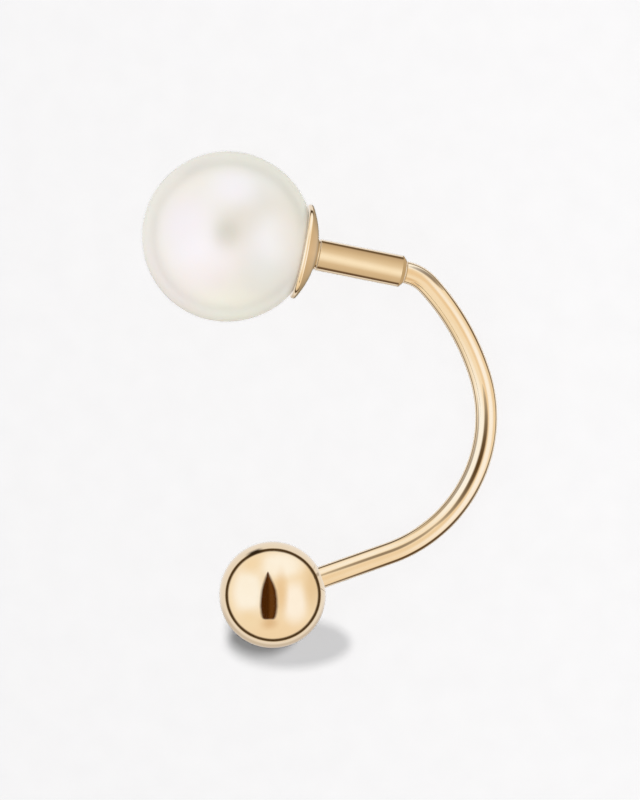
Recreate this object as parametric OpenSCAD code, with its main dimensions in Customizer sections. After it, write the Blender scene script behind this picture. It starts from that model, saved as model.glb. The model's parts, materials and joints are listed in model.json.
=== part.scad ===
// Ear jacket earring: a pearl stud whose short post plugs into a sleeve, and a curved wire
// that leaves the sleeve behind the ear lobe, bows round under it and ends in a polished ball.
// The earring lies on its side, on the pearl, the ball and the back of the bow.
// Lengths are in millimetres and angles in degrees.

/* [Pearl] */
// Diameter of the pearl
pearl_d = 6.4; // [5.6:0.1:8]
// Depth to which the peg reaches into the pearl
peg_len = 3.2; // [2:0.1:3.6]

/* [Cup and post] */
// Diameter of the cup across its rim
cup_d = 3.6; // [2.6:0.1:4.4]
// Thickness of the cup
cup_wall = 0.2; // [0.14:0.02:0.3]
// Diameter of the peg in the pearl
peg_d = 0.8; // [0.6:0.05:1]
// Diameter of the post behind the cup
post_d = 0.7; // [0.5:0.02:0.76]

/* [Sleeve] */
// Outer diameter of the sleeve
sleeve_d = 1.18; // [1.04:0.02:1.4]
// Length of the sleeve
sleeve_len = 3.35; // [2.6:0.05:5]
// Length of the bevel that narrows the sleeve to the wire
bevel_len = 0.15; // [0.1:0.05:0.4]

/* [Wire] */
// Diameter of the wire
wire_d = 0.83; // [0.78:0.01:0.98]
// Length of the wire's thinned end inside the sleeve
tenon_len = 1; // [0.6:0.1:1.4]
// Angle by which the sleeve points down behind the ear
post_droop = 11.8; // [0:0.1:20]
// Radius of the tight bend behind the sleeve
neck_r = 1.6; // [0.9:0.05:2]
// Angle of the tight bend
neck_turn = 35.8; // [25:0.1:50]
// Radius of the nearly straight back
back_r = 9; // [8:0.1:16]
// Angle of the nearly straight back
back_turn = 25.4; // [12:0.1:32]
// Radius of the bow under the lobe
bow_r = 5.4; // [4.6:0.05:7]
// Angle of the bow
bow_turn = 87.9; // [74:0.1:98]
// Straight length of wire between the bow and the ball
tail_len = 2.7; // [1.5:0.05:5]
// How much thicker the neck and the bow are than the stretches that end inside them
bend_swell = 0.006; // [0.004:0.002:0.02]

/* [Ball] */
// Diameter of the ball
ball_d = 4; // [3:0.1:5]
// Depth to which the wire reaches into the ball
ball_grip = 1.6; // [1:0.1:2.2]

/* [Fits] */
// Radial gap between the post and the sleeve it slides in
slide_gap = 0.03; // [0.02:0.01:0.06]
// Gap between pieces that are fixed to each other
seat_gap = 0.03; // [0.02:0.01:0.05]
// Gap between the cup and the sleeve, and between the post and the wire's end
stop_gap = 0.05; // [0.03:0.01:0.1]

/* [Hidden] */
$fn = 96;
PEARL_COLOUR = [0.94, 0.91, 0.88];
GOLD_COLOUR = [0.91, 0.74, 0.5];

pearl_r = pearl_d / 2;
ball_r = ball_d / 2;
wire_r = wire_d / 2;
bend_d = wire_d + bend_swell;
bend_r = bend_d / 2;
cup_in_r = pearl_r + seat_gap;
cup_out_r = cup_in_r + cup_wall;
bead_r = (cup_d - cup_wall) / 2;
rim_angle = asin(bead_r / (cup_in_r + cup_wall / 2));
bore_d = post_d + 2 * slide_gap;
tenon_d = bore_d - 2 * seat_gap;

// Places along the post's axis, measured from the pearl's centre
peg_tip = pearl_r - peg_len;
sleeve_front = cup_out_r + stop_gap;
sleeve_back = sleeve_front + sleeve_len;
tenon_tip = sleeve_back - tenon_len;
post_tip = tenon_tip - stop_gap;
wire_front = sleeve_back + seat_gap;

// The wire's centre line in the plane of the bow: a station is [x, y, heading]
function after_straight(s, length) =
    [s[0] + length * cos(s[2]), s[1] + length * sin(s[2]), s[2]];
function bend_centre(s, radius) =
    [s[0] + radius * sin(s[2]), s[1] - radius * cos(s[2])];
function after_bend(s, radius, turn) =
    let (c = bend_centre(s, radius), heading = s[2] - turn)
    [c[0] - radius * sin(heading), c[1] + radius * cos(heading), heading];

neck_start = after_straight([0, 0, -post_droop], wire_front);
back_start = after_bend(neck_start, neck_r, neck_turn);
bow_start = after_bend(back_start, back_r, back_turn);
tail_start = after_bend(bow_start, bow_r, bow_turn);
ball_station = after_straight(tail_start, tail_len + ball_r);

// The thinner stretches end a little inside the neck and the bow
lap = 0.03;
back_lap_turn = 180 / PI * lap / back_r;
back_lap_start = after_bend(back_start, back_r, -back_lap_turn);
ball_at = [ball_station[0], ball_station[1]];
bow_at = bend_centre(bow_start, bow_r);

// How the earring lies: the floor touches the pearl, the ball and the bow. Its upward normal
// has a share along the line from the ball to the pearl, whose radii differ, and a share
// across it, which a quadratic gives from the depth of the bow.
along = -ball_at / norm(ball_at);
across = [-along[1], along[0]];
rise_along = (pearl_r - ball_r) / norm(ball_at);
bow_along = -bow_at * along;
bow_across = -bow_at * across;
drop = pearl_r - bend_r - rise_along * bow_along;
square_term = pow(bow_r, 2) - pow(bow_across, 2);
root = sqrt(pow(drop * bow_across, 2)
    + square_term * (pow(drop, 2) - pow(bow_r * rise_along, 2)));
rise_across = (root - drop * bow_across) / square_term;
lean = rise_along * along + rise_across * across;
lean_angle = asin(norm(lean));
lean_axis = [lean[1], -lean[0], 0] / norm(lean);

// Where a point or direction of the bow's plane comes to lie
function laid_down(p) =
    p * cos(lean_angle) + cross(lean_axis, p) * sin(lean_angle)
    + lean_axis * (lean_axis * p) * (1 - cos(lean_angle));

ball_laid = laid_down([ball_at[0], ball_at[1], 0]);
bow_laid = laid_down([bow_at[0], bow_at[1], 0]);
bow_reach = bow_r * norm([laid_down([1, 0, 0])[0], laid_down([0, 1, 0])[0]]);
left = -pearl_r;
right = bow_laid[0] + bow_reach + bend_r;
top = pearl_r;
bottom = ball_laid[1] - ball_r;

// Lays the earring on its side, with the middle of its outline over the origin
module laid() {
    translate([-(left + right) / 2, -(bottom + top) / 2, pearl_r])
        rotate(a = lean_angle, v = lean_axis)
            children();
}

// Puts children whose +Z is the post's axis at a distance behind the pearl's centre
module on_post(distance) {
    rotate([0, 0, -post_droop])
        rotate([0, 90, 0])
            translate([0, 0, distance])
                children();
}

// Puts children whose +Z is the wire's heading at a station
module at_station(s) {
    translate([s[0], s[1], 0])
        rotate([0, 0, s[2]])
            rotate([0, 90, 0])
                children();
}

// A stretch of wire that bends from a station
module bent_wire(s, radius, turn, thickness) {
    centre = bend_centre(s, radius);
    translate([centre[0], centre[1], 0])
        rotate([0, 0, s[2] + 90 - turn])
            rotate_extrude(angle = turn)
                translate([radius, 0])
                    circle(d = thickness);
}

// A straight stretch of wire from a station
module straight_wire(s, length) {
    at_station(s)
        cylinder(d = wire_d, h = length);
}

// The pearl, half drilled from the back for the cup's peg
module pearl() {
    color(PEARL_COLOUR)
        laid()
            difference() {
                sphere(r = pearl_r);
                on_post(peg_tip - seat_gap)
                    cylinder(d = peg_d + 2 * seat_gap, h = pearl_d);
            }
}

// Half section of the dished cup, from its middle to its rounded rim
module cup_section() {
    far = 2 * cup_out_r;
    intersection() {
        difference() {
            circle(r = cup_out_r);
            circle(r = cup_in_r);
        }
        polygon([[0, 0], far * [sin(rim_angle), cos(rim_angle)], [0, far]]);
    }
    translate((cup_in_r + cup_wall / 2) * [sin(rim_angle), cos(rim_angle)])
        circle(d = cup_wall);
}

// The cup behind the pearl, in one with the peg in the pearl and the post in the sleeve
module pearl_cup() {
    middle = cup_in_r + cup_wall / 2;
    color(GOLD_COLOUR)
        laid()
            on_post(0)
                rotate_extrude() {
                    cup_section();
                    translate([0, peg_tip])
                        square([peg_d / 2, middle - peg_tip]);
                    translate([0, middle])
                        square([post_d / 2, post_tip - middle]);
                }
}

// The sleeve that passes through the lobe: open to the post in front, bevelled behind
module sleeve() {
    color(GOLD_COLOUR)
        laid()
            on_post(sleeve_front)
                rotate_extrude()
                    polygon([
                        [bore_d / 2, 0],
                        [sleeve_d / 2, 0],
                        [sleeve_d / 2, sleeve_len - bevel_len],
                        [wire_r, sleeve_len],
                        [bore_d / 2, sleeve_len],
                    ]);
}

// The curved wire, from its thinned end in the sleeve to its plain end in the ball
module ear_wire() {
    color(GOLD_COLOUR)
        laid() {
            on_post(tenon_tip)
                cylinder(d = tenon_d, h = wire_front + lap - tenon_tip);
            bent_wire(neck_start, neck_r, neck_turn, bend_d);
            bent_wire(back_lap_start, back_r, back_turn + 2 * back_lap_turn, wire_d);
            bent_wire(bow_start, bow_r, bow_turn, bend_d);
            straight_wire(after_straight(tail_start, -lap), lap + tail_len + ball_grip);
        }
}

// The ball, drilled for the end of the wire
module ball() {
    color(GOLD_COLOUR)
        laid()
            difference() {
                translate([ball_at[0], ball_at[1], 0])
                    sphere(r = ball_r);
                at_station(tail_start)
                    cylinder(r = wire_r + seat_gap, h = tail_len + ball_grip + seat_gap);
            }
}

pearl();
pearl_cup();
sleeve();
ear_wire();
ball();
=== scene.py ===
"""A pearl ear jacket earring in warm yellow gold, lying on a pale floor under soft studio light."""

import json
import math

import bmesh
import bpy
from mathutils import Matrix, Vector, noise


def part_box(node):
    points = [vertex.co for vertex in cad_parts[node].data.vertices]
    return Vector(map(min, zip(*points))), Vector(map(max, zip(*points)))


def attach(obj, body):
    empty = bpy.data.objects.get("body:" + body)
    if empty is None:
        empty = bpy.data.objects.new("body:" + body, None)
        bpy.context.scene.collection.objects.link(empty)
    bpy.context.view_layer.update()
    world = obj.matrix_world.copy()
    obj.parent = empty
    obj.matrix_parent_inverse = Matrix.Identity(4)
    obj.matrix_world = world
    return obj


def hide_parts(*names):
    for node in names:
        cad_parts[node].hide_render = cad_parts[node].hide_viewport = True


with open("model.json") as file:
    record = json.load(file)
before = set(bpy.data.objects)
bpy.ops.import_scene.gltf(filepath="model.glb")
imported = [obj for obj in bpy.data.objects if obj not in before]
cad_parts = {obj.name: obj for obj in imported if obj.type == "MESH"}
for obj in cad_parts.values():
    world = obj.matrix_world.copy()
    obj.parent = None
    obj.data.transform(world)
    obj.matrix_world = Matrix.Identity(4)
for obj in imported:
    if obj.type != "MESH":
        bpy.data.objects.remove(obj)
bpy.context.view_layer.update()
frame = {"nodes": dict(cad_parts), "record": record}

MM = 0.001

# Sizes of the visible pieces, in metres and degrees, as in the part's source
CUP_D = 3.6 * MM
CUP_WALL = 0.2 * MM
PEG_D = 0.8 * MM
PEG_LEN = 3.2 * MM
POST_D = 0.7 * MM
SLEEVE_D = 1.18 * MM
SLEEVE_LEN = 3.35 * MM
BEVEL_LEN = 0.15 * MM
WIRE_D = 0.83 * MM
TENON_LEN = 1.0 * MM
NECK_R, NECK_TURN = 1.6 * MM, 35.8
BACK_R, BACK_TURN = 9.0 * MM, 25.4
BOW_R, BOW_TURN = 5.4 * MM, 87.9
TAIL_LEN = 2.7 * MM
BALL_GRIP = 1.6 * MM
POST_DROOP = 11.8
SLIDE_GAP = 0.03 * MM
SEAT_GAP = 0.03 * MM
STOP_GAP = 0.05 * MM

# Trim that only the visible pieces have: the cup's foot, the wire's shoulder and eased edges
FOOT_R = 0.57 * MM
FOOT_RISE = 0.042 * MM
FOOT_FILLET = 0.01 * MM
SHOULDER_OUT = 0.02 * MM
SHOULDER_EASE = 0.012 * MM
HOLE_EASE = 0.03 * MM
HOLE_LIP = 0.04 * MM
PEG_EASE = 0.04 * MM
POST_EASE = 0.08 * MM
SLEEVE_EASE = 0.035 * MM
BEVEL_EASE = 0.05 * MM
BEVEL_LIP = 0.012 * MM
BEVEL_LIP_OUT = 0.004 * MM
BEVEL_LIP_BACK = 0.03 * MM
WIRE_EASE = 0.03 * MM
BALL_EASE = 0.03 * MM

# The photograph's view of the bow's plane, in degrees, and how much of it the picture takes in
VIEW_TURN = 5.0
VIEW_RISE = 6.0
PICTURE_HEIGHT = 30 * MM
LENS = 500.0
SENSOR = 36.0

# Fineness of the meshes: sides round a piece, and steps along the wire
AROUND = 192
PEARL_AROUND = 288
BALL_AROUND = 256
WIRE_AROUND = 96
STEP = 0.045 * MM

# A ring with less radius is one point, and two points of an outline with less distance are one
POINT_R = 1e-8
SAME_POINT = 1e-7


def mix(start, end, share):
    return start + (end - start) * share


# The earring's own axes, worked out from where its pieces lie

def middle_of(node):
    low, high = (Vector(corner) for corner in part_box(node))
    return (low + high) / 2


def radius_of(node):
    low, high = (Vector(corner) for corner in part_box(node))
    return (high - low).z / 2


pearl_at = middle_of("pearl")
pearl_r = radius_of("pearl")
ball_at = middle_of("ball")
ball_r = radius_of("ball")
post_way = -Vector(frame["record"]["mounts"][0]["axis"]).normalized()
bow_normal = (ball_at - pearl_at).cross(post_way).normalized()
earring_x = Matrix.Rotation(math.radians(POST_DROOP), 3, bow_normal) @ post_way
earring_y = bow_normal.cross(earring_x)


def in_plane(x, y):
    """A point of the bow's plane, from the pearl's centre."""
    return pearl_at + earring_x * x + earring_y * y


def way_of(heading):
    """A direction in the bow's plane, from its angle in degrees."""
    angle = math.radians(heading)
    return earring_x * math.cos(angle) + earring_y * math.sin(angle)


# Places along the post's axis, measured from the pearl's centre, and radii about it

cup_in_r = pearl_r + SEAT_GAP
cup_out_r = cup_in_r + CUP_WALL
cup_mid_r = (cup_in_r + cup_out_r) / 2
rim_angle = math.degrees(math.asin((CUP_D - CUP_WALL) / 2 / cup_mid_r))
bore_r = POST_D / 2 + SLIDE_GAP
tenon_r = bore_r - SEAT_GAP
wire_r = WIRE_D / 2
peg_tip = pearl_r - PEG_LEN
sleeve_front = cup_out_r + STOP_GAP
sleeve_back = sleeve_front + SLEEVE_LEN
tenon_tip = sleeve_back - TENON_LEN
post_tip = tenon_tip - STOP_GAP
wire_front = sleeve_back + SEAT_GAP


# Shapes

def arc(centre, radius, start, end, steps):
    """Points of an arc as (radius, distance) pairs, with angles in degrees."""
    points = []
    for i in range(steps + 1):
        angle = math.radians(mix(start, end, i / steps))
        points.append((centre[0] + radius * math.cos(angle), centre[1] + radius * math.sin(angle)))
    return points


def straight(start, end, edge=0.02 * MM):
    """A straight stretch of outline: its ends, a point close to each, and its middle."""
    length = math.dist(start, end)
    if length < 4 * edge:
        return [start, end]
    shares = (0, edge / length, 0.5, 1 - edge / length, 1)
    return [(mix(start[0], end[0], share), mix(start[1], end[1], share)) for share in shares]


def without_repeats(points):
    kept = []
    for point in points:
        if not kept or math.dist(point, kept[-1]) > SAME_POINT:
            kept.append(point)
    return kept


def mesh_object(name, bm):
    bmesh.ops.recalc_face_normals(bm, faces=bm.faces)
    mesh = bpy.data.meshes.new(name)
    bm.to_mesh(mesh)
    bm.free()
    mesh.shade_smooth()
    piece = bpy.data.objects.new(name, mesh)
    bpy.context.scene.collection.objects.link(piece)
    return piece


def skin(bm, rings):
    """Joins neighbouring rings of vertices with faces. A ring of one vertex is a pole."""
    for first, second in zip(rings, rings[1:]):
        count = max(len(first), len(second))
        for i in range(count):
            j = (i + 1) % count
            corners = []
            for ring, picks in ((first, (i, j)), (second, (j, i))):
                corners += [ring[0]] if len(ring) == 1 else [ring[k] for k in picks]
            bm.faces.new(corners)


def ring_of(bm, centre, radius, across, over, around):
    """A ring of vertices about a centre, or one vertex where the radius is nothing."""
    if radius < POINT_R:
        return [bm.verts.new(centre)]
    ring = []
    for i in range(around):
        angle = math.tau * i / around
        out = across * math.cos(angle) + over * math.sin(angle)
        ring.append(bm.verts.new(centre + out * radius))
    return ring


def turned(name, outline, base, way, around=AROUND, shape=None):
    """A solid of revolution. The outline is (radius, distance along the way) pairs."""
    across = way.cross(bow_normal).normalized()
    over = way.cross(across)
    bm = bmesh.new()
    rings = []
    for radius, distance in without_repeats(outline):
        rings.append(ring_of(bm, base + way * distance, radius, across, over, around))
    if len(rings[0]) > 1:
        rings.append(rings[0])
    skin(bm, rings)
    if shape:
        for vertex in bm.verts:
            vertex.co = shape(vertex.co)
    return mesh_object(name, bm)


# The pearl: how it departs from a sphere, and the angle from the post below which it doesn't

PEARL_SWELL, PEARL_SWELL_WIDTH = 0.014 * MM, 3.1 * MM
PEARL_RIPPLE, PEARL_RIPPLE_WIDTH = 0.0016 * MM, 0.9 * MM
PEARL_LOSS = 0.008 * MM
PEARL_CALM = rim_angle + 12
PEARL_CALM_POWER = 6


def pearl_skin(point):
    """Puts a point of the ideal pearl on the real one, round to a hair. The hole's points stay."""
    from_middle = point - pearl_at
    if from_middle.length < pearl_r * 0.98:
        return point
    out = from_middle.normalized()
    towards_cup = max(0.0, out.dot(post_way))
    calm = min(1.0, towards_cup / math.cos(math.radians(PEARL_CALM)))
    free = 1 - calm ** PEARL_CALM_POWER
    swell = noise.noise(from_middle / PEARL_SWELL_WIDTH + Vector((4.2, 1.7, 8.8)))
    ripple = noise.noise(from_middle / PEARL_RIPPLE_WIDTH + Vector((1.3, 6.1, 2.4)))
    return point + out * free * (swell * PEARL_SWELL - PEARL_LOSS + ripple * PEARL_RIPPLE)


def make_pearl():
    hole_r = PEG_D / 2 + SEAT_GAP
    hole_end = peg_tip - SEAT_GAP
    mouth = math.degrees(math.asin((hole_r + HOLE_EASE) / pearl_r))
    mouth_at = pearl_r * math.cos(math.radians(mouth))
    outline = [(0, -pearl_r)] + arc((0, 0), pearl_r, -89.4, 90 - mouth, 220)
    outline += [(hole_r, mouth_at - HOLE_LIP), (hole_r, hole_end), (0, hole_end)]
    return turned("pearl_skin", outline, pearl_at, post_way, PEARL_AROUND, pearl_skin)


# The cup with its peg and post

def make_cup():
    """The dished cup with its rounded rim, in one with the peg and the post."""
    post_r = POST_D / 2
    peg_r = PEG_D / 2
    bead = ((CUP_D - CUP_WALL) / 2, cup_mid_r * math.cos(math.radians(rim_angle)))
    root_angle = math.degrees(math.asin(peg_r / cup_in_r))
    foot_angle = math.degrees(math.asin(FOOT_R / cup_out_r))
    foot_top = cup_out_r + FOOT_RISE
    outline = [(0, peg_tip)]
    outline += arc((peg_r - PEG_EASE, peg_tip + PEG_EASE), PEG_EASE, -90, 0, 8)
    outline += [(peg_r, cup_in_r * math.cos(math.radians(root_angle)))]
    outline += arc((0, 0), cup_in_r, 89.5 - root_angle, 90 - rim_angle, 60)
    outline += arc(bead, CUP_WALL / 2, -90 - rim_angle, 90 - rim_angle, 24)
    outline += arc((0, 0), cup_out_r, 90 - rim_angle, 90 - foot_angle, 70)
    outline += arc((FOOT_R - FOOT_FILLET, foot_top - FOOT_FILLET), FOOT_FILLET, 0, 90, 6)
    outline += straight((post_r, foot_top), (post_r, post_tip - POST_EASE))
    outline += arc((post_r - POST_EASE, post_tip - POST_EASE), POST_EASE, 0, 90, 12)
    outline += [(0, post_tip)]
    return turned("cup_and_post", outline, pearl_at, post_way)


# The sleeve

def make_sleeve():
    """The tube, square in front and bevelled behind, with eased edges."""
    outer = SLEEVE_D / 2
    front = sleeve_front + SLEEVE_EASE
    bevel = math.atan2(outer - wire_r, BEVEL_LEN)
    bend_at = sleeve_back - BEVEL_LEN - BEVEL_EASE * math.tan(bevel / 2)
    lip_r = wire_r + BEVEL_LIP_BACK * math.sin(bevel)
    lip_at = sleeve_back - BEVEL_LIP_BACK * math.cos(bevel)
    outline = straight((bore_r, front), (bore_r, sleeve_back))[::-1]
    outline += arc((bore_r + SLEEVE_EASE, front), SLEEVE_EASE, 180, 270, 10)
    outline += arc((outer - SLEEVE_EASE, front), SLEEVE_EASE, -90, 0, 12)
    outline += straight((outer, front), (outer, bend_at))
    outline += arc((outer - BEVEL_EASE, bend_at), BEVEL_EASE, 0, math.degrees(bevel), 8)
    outline += straight(outline[-1], (lip_r, lip_at), BEVEL_LIP)
    outline += [(wire_r + BEVEL_LIP_OUT, sleeve_back - BEVEL_LIP)]
    outline += [(wire_r - BEVEL_LIP, sleeve_back)]
    return turned("sleeve_tube", outline, pearl_at, post_way)


# The wire

def wire_stations():
    """The wire's centre line from its front face to its tail, as (x, y, heading, distance)."""
    angle = math.radians(-POST_DROOP)
    x, y, heading = wire_front * math.cos(angle), wire_front * math.sin(angle), -POST_DROOP
    stations = [(x, y, heading, 0.0)]
    gone = 0.0
    for radius, turn in ((NECK_R, NECK_TURN), (BACK_R, BACK_TURN), (BOW_R, BOW_TURN)):
        length = radius * math.radians(turn)
        steps = max(24, round(length / STEP))
        start = math.radians(heading)
        centre = (x + radius * math.sin(start), y - radius * math.cos(start))
        for i in range(1, steps + 1):
            now = start - math.radians(turn) * i / steps
            x, y = centre[0] - radius * math.sin(now), centre[1] + radius * math.cos(now)
            stations.append((x, y, math.degrees(now), gone + length * i / steps))
        heading -= turn
        gone += length
    return stations


def wire_sections():
    """The wire from end to end as (middle, way, radius, distance from its front face)."""
    shoulder = wire_front - SHOULDER_OUT
    front = [(0, tenon_tip)]
    front += arc((tenon_r - WIRE_EASE, tenon_tip + WIRE_EASE), WIRE_EASE, -90, 0, 8)
    front += [(tenon_r, shoulder - SHOULDER_EASE), (tenon_r, shoulder)]
    front += arc((wire_r - SHOULDER_EASE, shoulder + SHOULDER_EASE), SHOULDER_EASE, -90, 0, 8)
    sections = []
    for radius, distance in without_repeats(front):
        sections.append((pearl_at + post_way * distance, post_way, radius, distance - wire_front))
    for x, y, heading, distance in wire_stations()[1:]:
        sections.append((in_plane(x, y), way_of(heading), wire_r, distance))
    tail, tail_at = way_of(heading), in_plane(x, y)
    length = TAIL_LEN + BALL_GRIP
    steps = round(length / (2 * STEP))
    for i in range(1, steps + 1):
        at = (length - WIRE_EASE) * i / steps
        sections.append((tail_at + tail * at, tail, wire_r, distance + at))
    end = arc((wire_r - WIRE_EASE, length - WIRE_EASE), WIRE_EASE, 15, 90, 5) + [(0, length)]
    for radius, at in end:
        sections.append((tail_at + tail * at, tail, radius, distance + length))
    return sections


def make_wire():
    """The wire, thinned in the sleeve, with a shoulder, the bends and the tail in the ball."""
    bm = bmesh.new()
    grain = bm.verts.layers.float_vector.new("grain")
    rings = []
    for middle, way, radius, distance in wire_sections():
        ring = ring_of(bm, middle, radius, way.cross(bow_normal), bow_normal, WIRE_AROUND)
        for i, vertex in enumerate(ring):
            angle = math.tau * i / WIRE_AROUND
            out = 0 if len(ring) == 1 else wire_r / MM
            vertex[grain] = (math.cos(angle) * out, math.sin(angle) * out, distance / MM)
        rings.append(ring)
    skin(bm, rings)
    return mesh_object("ear_wire_swept", bm)


# The ball

def make_ball():
    """The ball, drilled for the wire, with a slightly eased mouth."""
    tail = way_of(-POST_DROOP - NECK_TURN - BACK_TURN - BOW_TURN)
    hole_r = wire_r + SEAT_GAP
    mouth = math.degrees(math.asin((hole_r + BALL_EASE) / ball_r))
    depth = -ball_r + BALL_GRIP + SEAT_GAP
    outline = [(0, ball_r)] + arc((0, 0), ball_r, 89.2, -90 + mouth, 180)
    mouth_at = outline[-1][1]
    outline += arc((hole_r + BALL_EASE, mouth_at + BALL_EASE), BALL_EASE, -90, -180, 6)
    outline += [(hole_r, depth), (0, depth)]
    return turned("ball_shell", outline, ball_at, tail, BALL_AROUND)


# What the materials are made with

def node_of(tree, kind, **values):
    made = tree.nodes.new(kind)
    for name, value in values.items():
        setattr(made, name, value)
    return made


def noise_value(tree, vector, scale, detail=2.0, roughness=0.5, distortion=0.0):
    made = node_of(tree, "ShaderNodeTexNoise")
    made.inputs["Scale"].default_value = scale
    made.inputs["Detail"].default_value = detail
    made.inputs["Roughness"].default_value = roughness
    made.inputs["Distortion"].default_value = distortion
    tree.links.new(vector, made.inputs["Vector"])
    return made.outputs["Fac"]


def ranged(tree, value, low, high, to_low, to_high, smooth=False):
    made = node_of(tree, "ShaderNodeMapRange")
    made.interpolation_type = "SMOOTHSTEP" if smooth else "LINEAR"
    made.inputs["From Min"].default_value = low
    made.inputs["From Max"].default_value = high
    made.inputs["To Min"].default_value = to_low
    made.inputs["To Max"].default_value = to_high
    tree.links.new(value, made.inputs["Value"])
    return made.outputs["Result"]


def rising(tree, value, span):
    return ranged(tree, value, *span, 0, 1, smooth=True)


def falling(tree, value, span):
    return ranged(tree, value, *span, 1, 0, smooth=True)


def mixed_colour(tree, factor, first, second):
    made = node_of(tree, "ShaderNodeMix", data_type="RGBA")
    tree.links.new(factor, made.inputs["Factor"])
    for socket, colour in ((made.inputs[6], first), (made.inputs[7], second)):
        if isinstance(colour, tuple):
            socket.default_value = (*colour, 1)
        else:
            tree.links.new(colour, socket)
    return made.outputs[2]


def maths(tree, operation, *values):
    made = node_of(tree, "ShaderNodeMath", operation=operation)
    for socket, value in zip(made.inputs, values):
        if isinstance(value, (int, float)):
            socket.default_value = value
        else:
            tree.links.new(value, socket)
    return made.outputs["Value"]


def bumped(tree, height, strength, distance, below=None):
    made = node_of(tree, "ShaderNodeBump")
    made.inputs["Strength"].default_value = strength
    made.inputs["Distance"].default_value = distance
    tree.links.new(height, made.inputs["Height"])
    if below:
        tree.links.new(below, made.inputs["Normal"])
    return made.outputs["Normal"]


def new_material(name):
    material = bpy.data.materials.new(name)
    material.use_nodes = True
    tree = material.node_tree
    return material, tree, tree.nodes["Principled BSDF"]


# Gold

GOLD = (0.930, 0.765, 0.545)
GOLD_DEEP = (0.915, 0.735, 0.500)
GRAIN_STRETCH = (18, 18, 0.5)


def gold(name, drawn=False):
    """Polished gold. Drawn wire also has the die's fine lines along it."""
    material, tree, shader = new_material(name)
    place = node_of(tree, "ShaderNodeTexCoord").outputs["Object"]
    shader.inputs["Metallic"].default_value = 1.0
    patches = noise_value(tree, place, scale=700, detail=3)
    colour = mixed_colour(tree, ranged(tree, patches, 0.35, 0.7, 0, 1), GOLD, GOLD_DEEP)
    tree.links.new(colour, shader.inputs["Base Color"])
    haze = noise_value(tree, place, scale=2600, detail=4, roughness=0.6)
    tree.links.new(ranged(tree, haze, 0.3, 0.75, 0.035, 0.085), shader.inputs["Roughness"])
    waves = noise_value(tree, place, scale=1900, detail=1)
    normal = bumped(tree, waves, strength=0.10, distance=0.02 * MM)
    scratches = noise_value(tree, place, scale=14000, detail=3, roughness=0.7)
    normal = bumped(tree, scratches, strength=0.05, distance=0.004 * MM, below=normal)
    if drawn:
        normal = with_drawn_lines(tree, normal)
    tree.links.new(normal, shader.inputs["Normal"])
    return material


def with_drawn_lines(tree, normal):
    grain = node_of(tree, "ShaderNodeAttribute", attribute_name="grain").outputs["Vector"]
    stretch = node_of(tree, "ShaderNodeVectorMath", operation="MULTIPLY")
    stretch.inputs[1].default_value = GRAIN_STRETCH
    tree.links.new(grain, stretch.inputs[0])
    lines = noise_value(tree, stretch.outputs["Vector"], scale=1.0, detail=2)
    return bumped(tree, lines, strength=0.06, distance=0.008 * MM, below=normal)


# Nacre

CREAM = (0.895, 0.855, 0.825)
ROSE = (0.92, 0.855, 0.855)
GREEN = (0.88, 0.865, 0.81)

# How much of each soft patch's reach on the pearl has its full tone
PEARL_PATCH_CORE = 0.2

# Broad patches on the pearl, partly rose and green overtones, partly painted highlights and painted
# shade: place on the pearl along the earring's x and y, reach and tone
OVERTONES_AND_PAINTED_LIGHT = {
    "ivory foot": ((0.05, -0.80), 2.3 * MM, (0.945, 0.930, 0.860)),
    "shoulder painted shade": ((0.24, 0.44), 1.9 * MM, (0.835, 0.795, 0.745)),
    "hip painted shade": ((0.36, -0.35), 1.7 * MM, (0.835, 0.812, 0.765)),
    "rose side painted highlight": ((-0.38, -0.22), 1.7 * MM, (0.925, 0.872, 0.885)),
    "rose edge": ((-0.58, 0.25), 1.7 * MM, (0.885, 0.820, 0.815)),
    "rose crown painted highlight": ((0.02, 0.66), 1.3 * MM, (0.915, 0.865, 0.865)),
    "cup side painted highlight": ((0.54, 0.06), 1.4 * MM, (0.920, 0.885, 0.860)),
}


# Soft patches of tone on the pearl: overtones, and painted highlights and painted shade
def with_overtones_and_painted_light(tree, place, colour):
    for (x, y), reach, tone in OVERTONES_AND_PAINTED_LIGHT.values():
        out = earring_x * x + earring_y * y + bow_normal * math.sqrt(1 - x * x - y * y)
        away = node_of(tree, "ShaderNodeVectorMath", operation="DISTANCE")
        tree.links.new(place, away.inputs[0])
        away.inputs[1].default_value = pearl_at + out * pearl_r
        share = falling(tree, away.outputs["Value"], (reach * PEARL_PATCH_CORE, reach))
        colour = mixed_colour(tree, share, colour, tone)
    return colour


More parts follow.
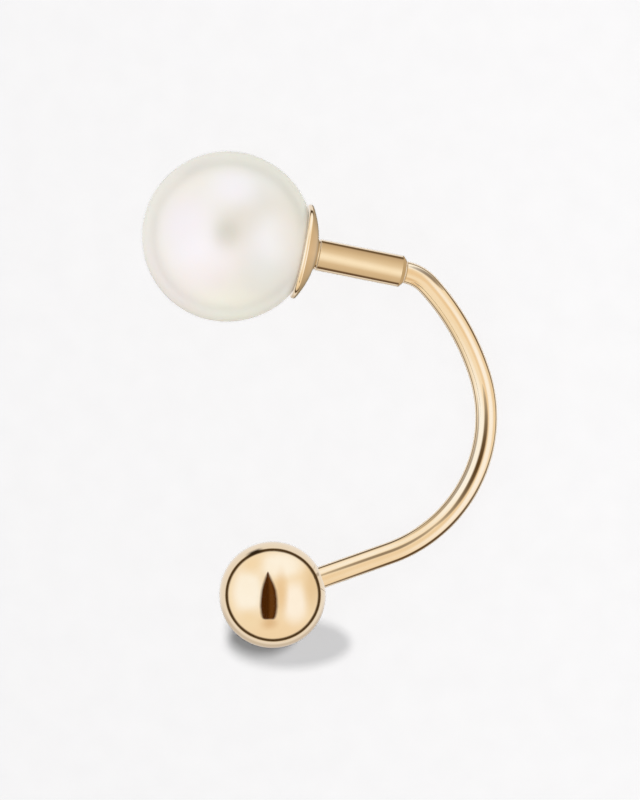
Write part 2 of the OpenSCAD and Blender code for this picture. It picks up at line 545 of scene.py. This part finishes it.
def nacre():
    """Nacre: a milky body that shines from its layers, with faint rose and green overtones, and
    soft painted highlights and painted shade.
    """
    material, tree, shader = new_material("nacre")
    place = node_of(tree, "ShaderNodeTexCoord").outputs["Object"]
    clouds = noise_value(tree, place, scale=260, detail=1)
    colour = mixed_colour(tree, rising(tree, clouds, (0.40, 0.68)), CREAM, ROSE)
    veils = noise_value(tree, place, scale=190, detail=1)
    colour = mixed_colour(tree, ranged(tree, veils, 0.48, 0.74, 0, 0.8, smooth=True), colour, GREEN)
    # Overtones with painted highlights and painted shade laid over the base colour
    tree.links.new(with_overtones_and_painted_light(tree, place, colour), shader.inputs["Base Color"])
    shader.inputs["Metallic"].default_value = 0.26
    shader.inputs["Specular Tint"].default_value = (0.82, 0.86, 0.70, 1)
    shader.inputs["Specular IOR Level"].default_value = 0.25
    shader.inputs["Subsurface Weight"].default_value = 0.3
    shader.inputs["Subsurface Radius"].default_value = (1.0, 0.75, 0.6)
    shader.inputs["Subsurface Scale"].default_value = 0.4 * MM
    shader.inputs["Coat Weight"].default_value = 0.06
    shader.inputs["Coat Roughness"].default_value = 0.12
    shader.inputs["Coat IOR"].default_value = 1.5
    satin = noise_value(tree, place, scale=1300, detail=2)
    tree.links.new(ranged(tree, satin, 0.3, 0.7, 0.33, 0.38), shader.inputs["Roughness"])
    growth = noise_value(tree, place, scale=1500, detail=3, distortion=0.6)
    normal = bumped(tree, growth, strength=0.06, distance=0.010 * MM)
    tree.links.new(normal, shader.inputs["Normal"])
    return material


# The floor's card

CARD_TONE = (0.099, 0.099, 0.100)
CARD_FIBRE_TONE = (0.101, 0.101, 0.102)


def pale_card():
    """The floor: smooth pale card."""
    material, tree, shader = new_material("pale_card")
    place = node_of(tree, "ShaderNodeTexCoord").outputs["Object"]
    fibres = noise_value(tree, place, scale=900, detail=3)
    tone = mixed_colour(tree, ranged(tree, fibres, 0.3, 0.7, 0, 1), CARD_TONE, CARD_FIBRE_TONE)
    tree.links.new(tone, shader.inputs["Base Color"])
    shader.inputs["Roughness"].default_value = 1.0
    shader.inputs["Specular IOR Level"].default_value = 0.0
    return material


# Building and dressing the pieces

def dress(piece, material, body, node):
    piece.data.materials.append(material)
    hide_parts(node)
    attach(piece, body)
    return piece


plain_gold = gold("polished_gold")
pearl = dress(make_pearl(), nacre(), "stud", "pearl")
cup = dress(make_cup(), plain_gold, "stud", "pearl_cup")
sleeve = dress(make_sleeve(), plain_gold, "jacket", "sleeve")
wire = dress(make_wire(), gold("drawn_gold", drawn=True), "jacket", "ear_wire")
ball = dress(make_ball(), plain_gold, "jacket", "ball")

# The ball mirrors only the studio, as in the photograph
for piece in (pearl, cup, sleeve, wire):
    piece.visible_glossy = False


# The camera, turned to the bow's plane as the photograph's is

turn, rise = math.radians(VIEW_TURN), math.radians(VIEW_RISE)
to_camera = (
    earring_x * -math.sin(turn) * math.cos(rise)
    + earring_y * math.sin(rise)
    + bow_normal * math.cos(turn) * math.cos(rise)
)
camera_right = earring_y.cross(to_camera).normalized()
camera_up = to_camera.cross(camera_right)


def make_camera():
    corners = [Vector(v.co) for o in frame["nodes"].values() for v in o.data.vertices]
    aim = Vector()
    for axis in (camera_right, camera_up, to_camera):
        reaches = [corner.dot(axis) for corner in corners]
        aim += axis * (min(reaches) + max(reaches)) / 2
    data = bpy.data.cameras.new("camera")
    data.lens = LENS
    data.sensor_width = SENSOR
    data.clip_start = 10 * MM
    data.clip_end = 10.0
    camera = bpy.data.objects.new("camera", data)
    place = Matrix((camera_right, camera_up, to_camera)).transposed().to_4x4()
    place.translation = aim + to_camera * PICTURE_HEIGHT * LENS / SENSOR
    camera.matrix_world = place
    bpy.context.scene.collection.objects.link(camera)
    bpy.context.scene.camera = camera
    return place.translation


camera_at = make_camera()


# The studio's cards, which glow in painted reflections of light and shade

# How near to a mirror the cards fitted over a piece have to be to show in it, and the others
NEAR = 1.2 * MM
FAR = 1.0


def glowing(name, within):
    """A card's material: it glows in the mesh's glow colour, as far as the mesh's cover is 1,
    and only rays that start within some distance meet it."""
    material = bpy.data.materials.new(name)
    material.use_nodes = True
    tree = material.node_tree
    tree.nodes.clear()
    link = tree.links.new
    glow = node_of(tree, "ShaderNodeAttribute", attribute_name="glow").outputs["Color"]
    emission = node_of(tree, "ShaderNodeEmission")
    link(glow, emission.inputs["Color"])
    clear = node_of(tree, "ShaderNodeBsdfTransparent")
    cover = node_of(tree, "ShaderNodeAttribute", attribute_name="cover").outputs["Fac"]
    length = node_of(tree, "ShaderNodeLightPath").outputs["Ray Length"]
    shown = maths(tree, "MULTIPLY", cover, maths(tree, "LESS_THAN", length, within))
    choice = node_of(tree, "ShaderNodeMixShader")
    link(shown, choice.inputs["Fac"])
    link(clear.outputs[0], choice.inputs[1])
    link(emission.outputs[0], choice.inputs[2])
    link(choice.outputs[0], node_of(tree, "ShaderNodeOutputMaterial").inputs["Surface"])
    return material


near_glow = glowing("near_card", NEAR)
far_glow = glowing("far_card", FAR)


def make_card(name, rows, material=near_glow, shading=False):
    """A card from rows of (point, cover, colour). Only mirrors show it, unless it shades too."""
    bm = bmesh.new()
    cover = bm.verts.layers.float.new("cover")
    glow = bm.verts.layers.float_vector.new("glow")
    made = []
    for row in rows:
        line = []
        for point, share, colour in row:
            vertex = bm.verts.new(point)
            vertex[cover] = share
            vertex[glow] = colour
            line.append(vertex)
        made.append(line)
    for first, second in zip(made, made[1:]):
        for i in range(len(first) - 1):
            bm.faces.new((first[i], first[i + 1], second[i + 1], second[i]))
    card = mesh_object(name, bm)
    card.data.materials.append(material)
    card.visible_camera = False
    card.visible_diffuse = shading
    card.visible_transmission = False
    card.visible_volume_scatter = False
    card.visible_shadow = shading


def mirrored_way(point, normal):
    """Where the camera's look goes on from a mirror."""
    return (point - camera_at).normalized().reflect(normal)


def mirrored(point, normal, height):
    """Where the camera's look, mirrored at a point, meets a plane at a height above it."""
    leaving = mirrored_way(point, normal)
    return point + leaving * (height / leaving.dot(to_camera))


def disc_normal(x, y):
    """The normal of a round piece at a place on its disc, as the camera sees it."""
    return camera_right * x + camera_up * y + to_camera * math.sqrt(1 - x * x - y * y)


def facing_axes(way):
    """Two directions across a way: to the right of it, and to the side facing the camera."""
    facing = (to_camera - way * to_camera.dot(way)).normalized()
    return way.cross(facing).normalized(), facing


def tone_between(tones, at):
    """The tone at a place, from rows of (place, tone)."""
    for (start, first), (end, second) in zip(tones, tones[1:]):
        if at <= end:
            return Vector(first).lerp(Vector(second), (at - start) / (end - start))
    return Vector(tones[-1][1])


# The dark slot, a painted reflection that the ball mirrors: height on the ball's disc, its left
# edge and its right edge

SLOT = (
    (0.455, -0.086, -0.076),
    (0.39, -0.112, -0.050),
    (0.31, -0.140, -0.014),
    (0.21, -0.172, 0.034),
    (0.10, -0.200, 0.072),
    (-0.05, -0.220, 0.094),
    (-0.20, -0.224, 0.098),
    (-0.33, -0.212, 0.080),
    (-0.40, -0.195, 0.062),
    (-0.44, -0.170, 0.036),
    (-0.456, -0.140, 0.006),
)
SLOT_STEPS = 64
SLOT_END_STEPS = 1.5
SLOT_SOFT = 0.026
SLOT_SOFT_SHARE = 0.3
SLOT_HEIGHT = 5 * MM
SLOT_DARK = (0.066, 0.021, 0.002)
SLOT_BROWN = (0.125, 0.048, 0.009)
SLOT_TONES = ((0.45, SLOT_DARK), (0.62, SLOT_BROWN), (0.74, SLOT_BROWN))


def slot_edges(y):
    """The slot's left and right edge at a height on the disc."""
    for (top, left, right), (bottom, next_left, next_right) in zip(SLOT, SLOT[1:]):
        if y >= bottom:
            share = (top - y) / (top - bottom)
            return mix(left, next_left, share), mix(right, next_right, share)
    return SLOT[-1][1:]


def make_slot():
    """The dark slot's card, a painted reflection, brown to the right of its middle, with soft
    edges.
    """
    rows = []
    for i in range(SLOT_STEPS + 1):
        y = mix(SLOT[0][0], SLOT[-1][0], i / SLOT_STEPS)
        left, right = slot_edges(y)
        fade = min(1.0, min(i, SLOT_STEPS - i) / SLOT_END_STEPS)
        edge = min(SLOT_SOFT, (right - left) * SLOT_SOFT_SHARE)
        columns = [(left - edge, 0.0, SLOT_DARK), (left + edge, fade, SLOT_DARK)]
        columns += [(mix(left, right, share), fade, tone) for share, tone in SLOT_TONES]
        columns += [(right - edge, fade, SLOT_DARK), (right + edge, 0.0, SLOT_DARK)]
        row = []
        for x, cover, colour in columns:
            normal = disc_normal(x, y)
            height = SLOT_HEIGHT - normal.dot(to_camera) * ball_r
            row.append((mirrored(ball_at + normal * ball_r, normal, height), cover, colour))
        rows.append(row)
    make_card("slot_card", rows, far_glow)


# Painted reflections of dark lines that the wire mirrors: start, end, places across it at both,
# half width, height, strength

WIRE_LINES = {
    "neck": (0.0 * MM, 1.5 * MM, (0.58, 0.72), 0.20, 0.25 * MM, 0.75),
    "bow": (5.2 * MM, 11.3 * MM, (-0.02, -0.02), 0.26, 0.26 * MM, 1.0),
    "tail": (10.2 * MM, 16.8 * MM, (-0.10, -0.20), 0.17, 0.26 * MM, 0.75),
    "outer_front": (0.8 * MM, 5.6 * MM, (0.82, 0.84), 0.08, 0.25 * MM, 0.85),
    "outer_back": (7.4 * MM, 16.8 * MM, (0.84, 0.83), 0.14, 0.25 * MM, 1.0),
    "inner_front": (0.6 * MM, 5.6 * MM, (-0.76, -0.76), 0.09, 0.25 * MM, 0.25),
    "inner_bow": (5.4 * MM, 12.9 * MM, (-0.70, -0.74), 0.13, 0.25 * MM, 0.65),
    "inner_tail": (12.2 * MM, 16.8 * MM, (-0.80, -0.84), 0.09, 0.25 * MM, 0.6),
}
LINE_STEPS = 48
LINE_CORE = 0.45
LINE_DARK = (0.11, 0.065, 0.025)


def wire_place(distance):
    """The wire's middle and direction at a distance from its front face."""
    stations = wire_stations()
    x, y, heading, gone = next((s for s in stations if s[3] >= distance), stations[-1])
    way = way_of(heading)
    return in_plane(x, y) + way * max(0.0, distance - gone), way


def make_wire_line(name, start, end, places, half, height, strength):
    """A soft dark line along the wire, a painted reflection on a card that the wire mirrors. Places
    across it run from -1 to 1, the bow's outer side.
    """
    rows = []
    for i in range(LINE_STEPS + 1):
        share = i / LINE_STEPS
        middle, way = wire_place(mix(start, end, share))
        across, facing = facing_axes(way)
        place = mix(places[0], places[1], share)
        taper = math.sin(math.pi * share) ** 0.5
        row = []
        for step in (-1.0, -LINE_CORE, LINE_CORE, 1.0):
            cover = 0.0 if abs(step) == 1.0 else taper * strength
            side = -place + half * taper * step
            normal = across * side + facing * math.sqrt(1 - side * side)
            spot = middle + normal * wire_r
            row.append((spot + mirrored_way(spot, normal) * height, cover, LINE_DARK))
        rows.append(row)
    make_card("line_card_" + name, rows)


# Painted reflections of light and shade that the sleeve mirrors, from its upper to its lower edge

UPPER_EDGE = (0.16, 0.11, 0.06)
LOWER_EDGE = (0.15, 0.10, 0.06)
DEEP_TAN = (0.56, 0.45, 0.33)
UPPER_TAN = (0.69, 0.58, 0.43)
LIGHT_TAN = (0.82, 0.73, 0.59)
PALE = (0.98, 0.94, 0.85)
GLEAM = (1.03, 1.01, 0.94)
LOWER_TAN = (0.74, 0.63, 0.48)
WARM_TAN = (0.65, 0.54, 0.40)
SLEEVE_BANDS = (
    (-0.90, UPPER_EDGE),
    (-0.80, UPPER_EDGE),
    (-0.74, DEEP_TAN),
    (-0.50, UPPER_TAN),
    (-0.25, LIGHT_TAN),
    (-0.04, PALE),
    (0.09, GLEAM),
    (0.22, PALE),
    (0.45, LOWER_TAN),
    (0.72, WARM_TAN),
    (0.78, LOWER_EDGE),
    (0.88, LOWER_EDGE),
)
SLEEVE_CARD_STEPS = 12
SLEEVE_CARD_OUT = 0.3 * MM
SLEEVE_DRIFT = (-0.07, 0.05)


def make_sleeve_card():
    """A card over the sleeve, glowing in painted reflections of tan shade and a gleam. Its bands
    drift down a little from front to back.
    """
    across, facing = facing_axes(post_way)
    rows = []
    for i in range(SLEEVE_CARD_STEPS + 1):
        share = i / SLEEVE_CARD_STEPS
        middle = pearl_at + post_way * (sleeve_front + SLEEVE_LEN * share)
        row = []
        for place, colour in SLEEVE_BANDS:
            side = place + mix(*SLEEVE_DRIFT, share) * (1 - abs(place))
            normal = across * side + facing * math.sqrt(1 - side * side)
            spot = middle + normal * SLEEVE_D / 2
            row.append((spot + mirrored_way(spot, normal) * SLEEVE_CARD_OUT, 1.0, colour))
        rows.append(row)
    make_card("sleeve_card", rows)


# Painted reflections of light and shade that the cup mirrors, from its upper end over the side
# facing the camera to its lower end

UPPER_TIP = (0.22, 0.18, 0.12)
UPPER_SHADE = (0.38, 0.31, 0.21)
UPPER_BODY = (0.64, 0.52, 0.37)
CUP_LIGHT = (0.72, 0.58, 0.42)
LOWER_BODY = (0.56, 0.45, 0.31)
LOWER_SHADE = (0.34, 0.27, 0.18)
LOWER_TIP = (0.20, 0.16, 0.10)
CUP_TONES = (
    (-1.0, UPPER_TIP),
    (-0.74, UPPER_SHADE),
    (-0.40, UPPER_BODY),
    (0.0, CUP_LIGHT),
    (0.45, LOWER_BODY),
    (0.75, LOWER_SHADE),
    (1.0, LOWER_TIP),
)
CUP_EDGE_TONE = (0.24, 0.18, 0.11)
CUP_CARD_OUT = 0.3 * MM
CUP_CARD_AROUND = 40
CUP_CARD_DEEP = 8

# The card's half turn round the post, its end past the cup's rim, and the dark edge's breadth
CUP_CARD_HALF = math.radians(79)
CUP_CARD_REACH = math.radians(34)
CUP_EDGE = math.radians(13)


def make_cup_card():
    """A shell round the visible half of the cup, glowing in painted reflections of light and shade.
    """
    across, facing = facing_axes(post_way)
    rows = []
    for i in range(CUP_CARD_AROUND + 1):
        share = mix(-1, 1, i / CUP_CARD_AROUND)
        turned_by = CUP_CARD_HALF * share
        tone = tone_between(CUP_TONES, share)
        side = facing * math.cos(turned_by) + across * math.sin(turned_by)
        nearest = math.atan2(-post_way.dot(to_camera), side.dot(to_camera))
        row = []
        for j in range(CUP_CARD_DEEP + 1):
            polar = mix(nearest, CUP_CARD_REACH, j / CUP_CARD_DEEP)
            normal = post_way * math.cos(polar) + side * math.sin(polar)
            spot = pearl_at + normal * cup_out_r
            inward = min(1.0, (polar - nearest) / CUP_EDGE)
            colour = Vector(CUP_EDGE_TONE).lerp(tone, inward)
            row.append((spot + mirrored_way(spot, normal) * CUP_CARD_OUT, 1.0, tuple(colour)))
        rows.append(row)
    make_card("cup_card", rows)


# The painted reflection of shade that the sleeve's bevel mirrors

BEVEL_TONE = (0.55, 0.44, 0.30)
BEVEL_CARD_HALF = math.radians(80)
BEVEL_CARD_AROUND = 24
BEVEL_CARD_OUT = 0.06 * MM
BEVEL_CARD_FRONT = (SLEEVE_D / 2 + 0.05 * MM, sleeve_back - 0.2 * MM)
BEVEL_CARD_BACK = (wire_r - 0.02 * MM, sleeve_back + 0.03 * MM)


def make_bevel_card():
    """A shell round the sleeve's bevel, glowing in a painted reflection of shade."""
    across, facing = facing_axes(post_way)
    slope = math.atan2(BEVEL_LEN, SLEEVE_D / 2 - wire_r)
    rows = []
    for i in range(BEVEL_CARD_AROUND + 1):
        share = mix(-1, 1, i / BEVEL_CARD_AROUND)
        turned_by = BEVEL_CARD_HALF * share
        side = facing * math.cos(turned_by) + across * math.sin(turned_by)
        normal = post_way * math.cos(slope) + side * math.sin(slope)
        tone = Vector(BEVEL_TONE).lerp(Vector(CUP_EDGE_TONE), max(0.0, abs(share) * 3 - 2))
        row = []
        for radius, distance in (BEVEL_CARD_FRONT, BEVEL_CARD_BACK):
            spot = pearl_at + post_way * distance + side * radius
            row.append((spot + mirrored_way(spot, normal) * BEVEL_CARD_OUT, 1.0, tuple(tone)))
        rows.append(row)
    make_card("bevel_card", rows)


# The dim card over the pearl, painted shade and a painted reflection: place on its disc, height,
# size, and cover from middle to edge

PATCH_AT = (-0.01, 0.035)
PATCH_HEIGHT = 0.3 * MM
PATCH_R = 0.60 * MM
PATCH_TALL = 1.15
PATCH_AROUND = 40
PATCH_TONE = (0.34, 0.35, 0.21)
PATCH_COVERS = ((0.02, 0.42), (0.4, 0.36), (0.8, 0.20), (1.4, 0.0))


def make_patch():
    """A dim card just over the pearl that paints a soft dark spot in its middle: painted shade and
    a painted reflection.
    """
    normal = disc_normal(*PATCH_AT)
    middle = mirrored(pearl_at + normal * pearl_r, normal, PATCH_HEIGHT)
    rows = []
    for i in range(PATCH_AROUND + 1):
        angle = math.tau * i / PATCH_AROUND
        out = camera_right * math.cos(angle) + camera_up * math.sin(angle) * PATCH_TALL
        rows.append([(middle + out * PATCH_R * r, cover, PATCH_TONE) for r, cover in PATCH_COVERS])
    make_card("patch_card", rows, shading=True)


# The floor, its shades and the lights

FLOOR_HALF = 3.0
SHADE_AROUND = 64
LIGHT_AWAY = 0.32
WARM_WHITE = (1.0, 0.985, 0.97)
CLEAN_WHITE = (1.0, 0.995, 0.995)
SOFT_WHITE = (1.0, 0.99, 0.985)


def make_floor():
    bm = bmesh.new()
    signs = ((-1, -1), (1, -1), (1, 1), (-1, 1))
    bm.faces.new([bm.verts.new((x * FLOOR_HALF, y * FLOOR_HALF, 0)) for x, y in signs])
    floor = mesh_object("floor", bm)
    floor.data.materials.append(pale_card())
    floor.visible_glossy = False
    floor.visible_diffuse = False
    return floor


def make_shade(name, place, size, height):
    """An oval card that only shadows show. Place, from the ball, and half size are in mm."""
    bm = bmesh.new()
    cover = bm.verts.layers.float.new("cover")
    ring = []
    for i in range(SHADE_AROUND):
        angle = math.tau * i / SHADE_AROUND
        x, y = place[0] + size[0] * math.cos(angle), place[1] + size[1] * math.sin(angle)
        spot = ball_at + (camera_right * x + camera_up * y) * MM
        ring.append(bm.verts.new(spot + to_camera * ((height - spot.z) / to_camera.z)))
    for vertex in ring:
        vertex[cover] = 1.0
    bm.faces.new(ring)
    shade = mesh_object(name, bm)
    shade.data.materials.append(far_glow)
    shade.visible_camera = False
    shade.visible_diffuse = False
    shade.visible_glossy = False
    shade.visible_transmission = False
    return shade


def collection_of(name, pieces):
    made = bpy.data.collections.new(name)
    for piece in pieces:
        made.objects.link(piece)
    return made


def make_light(name, way, size, energy, colour, lit, casting=None, distance=LIGHT_AWAY):
    """A broad round light on some pieces. Where others are named, only they cast its shadows."""
    data = bpy.data.lights.new(name, "AREA")
    data.shape = "DISK"
    data.size = size
    data.energy = energy
    data.color = colour
    light = bpy.data.objects.new(name, data)
    light.location = way.normalized() * distance
    light.rotation_euler = way.to_track_quat("Z", "Y").to_euler()
    light.visible_glossy = False
    bpy.context.scene.collection.objects.link(light)
    light.light_linking.receiver_collection = collection_of(name + "_on", lit)
    if casting:
        light.light_linking.blocker_collection = collection_of(name + "_shadows", casting)


def make_lights():
    """Three lights on the floor, each with its own shadows, and a soft one on the pearl."""
    floor = make_floor()
    wide = make_shade("wide_shade", place=(0.60, -1.82), size=(2.35, 0.95), height=1.4 * MM)
    close = make_shade("close_shade", place=(-0.40, -1.30), size=(1.35, 1.00), height=1.2 * MM)
    make_light("floor_key", to_camera, 0.11, 3.35, WARM_WHITE, lit=[floor], casting=[wide])
    make_light("floor_fill", to_camera, 0.13, 3.85, CLEAN_WHITE, lit=[floor], casting=[close])
    earring = [pearl, cup, sleeve, wire, ball]
    away = camera_at.length
    make_light("floor_front", camera_at, 0.02, 3.1, SOFT_WHITE, [floor], earring, distance=away)
    from_left = to_camera + camera_up * 0.05 - camera_right * 0.60
    make_light("pearl_key", from_left, 0.20, 0.14, WARM_WHITE, lit=[pearl, cup])


# What the light tent shows a mirror: middle and half size on a mirror ball's disc, softness, colour

TENT = {
    "low sheet": ((0.00, -0.80), (0.66, 0.36), 0.5, (0.95, 0.85, 0.71)),
    "left window": ((-0.46, 0.06), (0.27, 0.44), 0.45, (1.06, 1.16, 1.34)),
    "right window": ((0.42, -0.14), (0.22, 0.36), 0.5, (1.06, 1.12, 1.26)),
    "top window": ((0.14, 0.56), (0.40, 0.23), 0.5, (1.06, 1.14, 1.28)),
    "left corner": ((-0.42, 0.62), (0.20, 0.18), 0.9, (0.98, 0.91, 0.79)),
    "right fold": ((0.76, 0.16), (0.14, 0.40), 0.8, (0.88, 0.77, 0.61)),
    "slot side": ((0.165, 0.03), (0.10, 0.33), 0.85, (0.90, 0.76, 0.58)),
    "slot foot": ((-0.07, -0.52), (0.14, 0.10), 0.8, (0.80, 0.64, 0.46)),
    "low corner": ((-0.44, -0.46), (0.22, 0.18), 0.9, (0.96, 0.89, 0.76)),
}
TENT_TONE = (0.98, 0.92, 0.82)
RIM_TONE = (0.88, 0.87, 0.88)
RIM_LOW_TONE = (0.58, 0.52, 0.46)
RING_TONE = (0.08, 0.05, 0.022)
CORNER_TONE = (0.03, 0.02, 0.01)

# The dark ring lies a little off the disc's middle and is a little flat
RING_RIGHT = 0.012
RING_FLAT = 1.025

# Where on the disc each starts and ends, by distance from its middle, height or angle in radians
RIM_IN = (0.89, 0.92)
RIM_LOW_IN = (0.93, 0.975)
RIM_LOW_DOWN = (-0.1, -0.5)
RIM_LOW_SHARE = 0.8
RING_IN = (0.825, 0.86)
RING_OUT = (0.888, 0.91)
CORNER_FROM = (1.74, 1.92)
CORNER_TO = (2.02, 2.24)
CORNER_IN = (0.83, 0.88)
CORNER_OUT = (0.90, 0.955)

# What everything but a mirror gets from the tent: near the floor and overhead
TENT_LOW = (1.30, 1.30, 1.15)
TENT_HIGH = (0.955, 0.965, 0.98)
TENT_STRENGTH = 0.95
TENT_RISE = (-0.15, 0.5)


def along(tree, vector, axis):
    made = node_of(tree, "ShaderNodeVectorMath", operation="DOT_PRODUCT")
    tree.links.new(vector, made.inputs[0])
    made.inputs[1].default_value = axis
    return made.outputs["Value"]


def product(tree, first, *others):
    for other in others:
        first = maths(tree, "MULTIPLY", first, other)
    return first


def length_of(tree, x, y):
    return maths(tree, "SQRT", maths(tree, "ADD", product(tree, x, x), product(tree, y, y)))


def mirror_place(tree, way):
    """Where on a mirror ball's disc, as the camera sees it, a direction shows."""
    half = node_of(tree, "ShaderNodeVectorMath", operation="ADD")
    tree.links.new(way, half.inputs[0])
    half.inputs[1].default_value = to_camera
    unit = node_of(tree, "ShaderNodeVectorMath", operation="NORMALIZE")
    tree.links.new(half.outputs["Vector"], unit.inputs[0])
    normal = unit.outputs["Vector"]
    return along(tree, normal, camera_right), along(tree, normal, camera_up)


def tent_sheets(tree, x, y):
    """The tent's lights and folds: ellipses on the disc that fade over a share of their size."""
    tone = TENT_TONE
    for middle, size, soft, colour in TENT.values():
        dx = maths(tree, "DIVIDE", maths(tree, "SUBTRACT", x, middle[0]), size[0])
        dy = maths(tree, "DIVIDE", maths(tree, "SUBTRACT", y, middle[1]), size[1])
        inside = falling(tree, length_of(tree, dx, dy), (1 - soft, 1 + soft))
        tone = mixed_colour(tree, inside, tone, colour)
    return tone


def with_rim(tree, y, r, tone):
    """A painted reflection of the floor round the tent's edge, darker below."""
    tone = mixed_colour(tree, rising(tree, r, RIM_IN), tone, RIM_TONE)
    lower = ranged(tree, y, *RIM_LOW_DOWN, 0, RIM_LOW_SHARE)
    share = product(tree, lower, rising(tree, r, RIM_LOW_IN))
    return mixed_colour(tree, share, tone, RIM_LOW_TONE)


def with_ring(tree, x, y, r, tone):
    """The tent's dark hem, and the darker corner at its upper left."""
    ring = product(tree, rising(tree, r, RING_IN), falling(tree, r, RING_OUT))
    tone = mixed_colour(tree, ring, tone, RING_TONE)
    angle = maths(tree, "ARCTAN2", y, x)
    corner = product(tree, rising(tree, angle, CORNER_FROM), falling(tree, angle, CORNER_TO))
    corner = product(tree, corner, rising(tree, r, CORNER_IN), falling(tree, r, CORNER_OUT))
    return mixed_colour(tree, corner, tone, CORNER_TONE)


def background(tree, colour, strength=1.0):
    made = node_of(tree, "ShaderNodeBackground")
    tree.links.new(colour, made.inputs["Color"])
    made.inputs["Strength"].default_value = strength
    return made.outputs[0]


def make_tent():
    """The light tent, laid out as a mirror ball at the earring shows it to the camera at rest."""
    world = bpy.data.worlds.new("tent")
    bpy.context.scene.world = world
    world.use_nodes = True
    tree = world.node_tree
    tree.nodes.clear()
    way = node_of(tree, "ShaderNodeTexCoord").outputs["Generated"]
    x, y = mirror_place(tree, way)
    right = maths(tree, "SUBTRACT", x, RING_RIGHT)
    r = length_of(tree, right, product(tree, y, RING_FLAT))
    tone = with_rim(tree, y, r, tent_sheets(tree, x, y))
    tone = with_ring(tree, x, y, r, tone)
    height = rising(tree, along(tree, way, (0, 0, 1)), TENT_RISE)
    plain = background(tree, mixed_colour(tree, height, TENT_LOW, TENT_HIGH), TENT_STRENGTH)
    glossy = node_of(tree, "ShaderNodeLightPath").outputs["Is Glossy Ray"]
    choice = node_of(tree, "ShaderNodeMixShader")
    tree.links.new(glossy, choice.inputs["Fac"])
    tree.links.new(plain, choice.inputs[1])
    tree.links.new(background(tree, tone), choice.inputs[2])
    tree.links.new(choice.outputs[0], node_of(tree, "ShaderNodeOutputWorld").inputs["Surface"])


# Setting up the studio

make_lights()
make_tent()
make_slot()
for line_name, line in WIRE_LINES.items():
    make_wire_line(line_name, *line)
make_sleeve_card()
make_cup_card()
make_bevel_card()
make_patch()
bpy.context.scene.view_settings.view_transform = "Standard"
